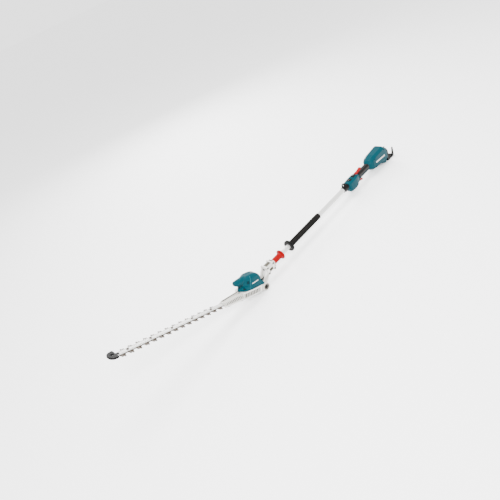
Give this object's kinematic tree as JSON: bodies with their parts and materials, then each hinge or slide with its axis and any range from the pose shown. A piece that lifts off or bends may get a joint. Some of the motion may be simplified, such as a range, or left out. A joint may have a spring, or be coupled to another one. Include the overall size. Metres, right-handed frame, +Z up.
{
  "type": "pole hedge trimmer",
  "caption": "Battery pole hedge trimmer with a tilting cutting head, twin reciprocating toothed blades, a red lock sleeve, foam grip and trigger handle.",
  "frame": {"origin": "middle of the underside of the whole tool's box, pole level and head at rest", "axes": "+X to the rear along the pole, towards the battery end, with the cutting head at -X; +Z up; the screw heads are on the -Y side"},
  "size_m": [1.9368, 0.0704, 0.329],
  "materials": {
    "teal_shell": "moulded teal plastic, satin gloss",
    "black_plastic": "fine matte moulding",
    "black_rubber": "soft rubber",
    "foam": "closed-cell foam",
    "red_plastic": "moulded red plastic",
    "cast_alloy": "shot-blasted casting",
    "pole_alloy": "satin drawn tube",
    "blade_steel": "ground steel",
    "screw_steel": "dark zinc",
    "motor_steel": "laminations and windings"
  },
  "bodies": {
    "pole": {"pole_tube": "pole_alloy", "pole_cable": "black_rubber", "bracket_left": "cast_alloy", "bracket_right": "cast_alloy", "bracket_screw_1": "screw_steel", "bracket_screw_2": "screw_steel", "bracket_screw_3": "screw_steel", "bracket_screw_4": "screw_steel", "pivot_bolt": "screw_steel", "pivot_nut": "screw_steel", "hand_guard": "black_plastic", "foam_grip": "foam", "hanger_clamp": "black_plastic", "hanger_screw": "screw_steel", "housing_left": "teal_shell", "housing_right": "teal_shell", "housing_screw_1": "screw_steel", "housing_screw_2": "screw_steel", "housing_screw_3": "screw_steel", "housing_screw_4": "screw_steel", "handle_grip": "black_rubber", "grip_underside": "black_rubber", "control_panel": "black_plastic", "switch_unit": "black_plastic", "controller": "black_plastic", "battery_plate": "black_plastic", "battery_terminals": "blade_steel", "rear_guard": "black_plastic"},
    "lock_sleeve": {"lock_sleeve": "red_plastic", "latch_bar": "screw_steel"},
    "head": {"nose_cover": "cast_alloy", "gear_case": "cast_alloy", "bottom_cover": "blade_steel", "case_screw_1": "screw_steel", "case_screw_2": "screw_steel", "case_screw_3": "screw_steel", "case_screw_4": "screw_steel", "case_screw_5": "screw_steel", "case_screw_6": "screw_steel", "index_plate": "screw_steel", "motor_housing_left": "teal_shell", "motor_housing_right": "teal_shell", "motor_screw_1": "screw_steel", "motor_screw_2": "screw_steel", "cable_boot": "black_rubber", "stator": "motor_steel", "motor_bearing": "screw_steel", "motor_end_plate": "motor_steel", "guide_bar": "blade_steel", "blade_bolt_1": "blade_steel", "blade_bolt_2": "blade_steel", "blade_bolt_3": "blade_steel", "blade_bolt_4": "blade_steel", "blade_bolt_5": "blade_steel", "tip_guard": "black_plastic"},
    "rotor": {"rotor": "motor_steel"},
    "crank": {"crank": "blade_steel"},
    "upper_blade": {"upper_blade": "blade_steel"},
    "lower_blade": {"lower_blade": "blade_steel"},
    "power_button": {"power_button": "black_plastic"},
    "mode_button": {"mode_button": "black_plastic"},
    "trigger": {"trigger": "red_plastic"},
    "lock_off_lever": {"lock_off_lever": "red_plastic"}
  },
  "joints": [
    {"name": "head_tilt", "type": "hinge", "parent": "pole", "child": "head", "pos_m": [-0.23263, -0.0002, 0.019], "axis": [0, 1, 0], "range_deg": [-90, 22.5]},
    {"name": "sleeve_slide", "type": "slide", "parent": "pole", "child": "lock_sleeve", "axis": [1, 0, 0], "range_m": [0, 0.006], "stiffness_N_per_m": 1500},
    {"name": "rotor_spin", "type": "hinge", "parent": "head", "child": "rotor", "pos_m": [-0.28829, -0.0002, 0.07929], "axis": [0.3827, 0, 0.9239], "continuous": true},
    {"name": "crank_spin", "type": "hinge", "parent": "head", "child": "crank", "pos_m": [-0.32518, -0.0002, 0.0621], "axis": [0.3827, 0, 0.9239], "continuous": true},
    {"name": "upper_blade_slide", "type": "slide", "parent": "head", "child": "upper_blade", "axis": [0.9239, 0, -0.3827], "range_m": [-0.006, 0.006]},
    {"name": "lower_blade_slide", "type": "slide", "parent": "head", "child": "lower_blade", "axis": [0.9239, 0, -0.3827], "range_m": [-0.006, 0.006]},
    {"name": "power_button_press", "type": "slide", "parent": "pole", "child": "power_button", "axis": [0, 0, -1], "range_m": [0, 0.0012], "stiffness_N_per_m": 800},
    {"name": "mode_button_press", "type": "slide", "parent": "pole", "child": "mode_button", "axis": [0, 0, -1], "range_m": [0, 0.0012], "stiffness_N_per_m": 800},
    {"name": "trigger_pull", "type": "hinge", "parent": "pole", "child": "trigger", "pos_m": [0.63137, -0.0002, 0.042], "axis": [0, -1, 0], "range_deg": [0, 10], "stiffness_Nm_per_rad": 1},
    {"name": "lock_off_press", "type": "hinge", "parent": "pole", "child": "lock_off_lever", "pos_m": [0.61837, -0.0002, 0.085], "axis": [0, 1, 0], "range_deg": [0, 6], "stiffness_Nm_per_rad": 1.5}
  ],
  "couplings": [
    {"joint": "crank_spin", "follows": "rotor_spin", "ratio": -0.29412},
    {"joint": "lower_blade_slide", "follows": "upper_blade_slide", "ratio": -1}
  ]
}
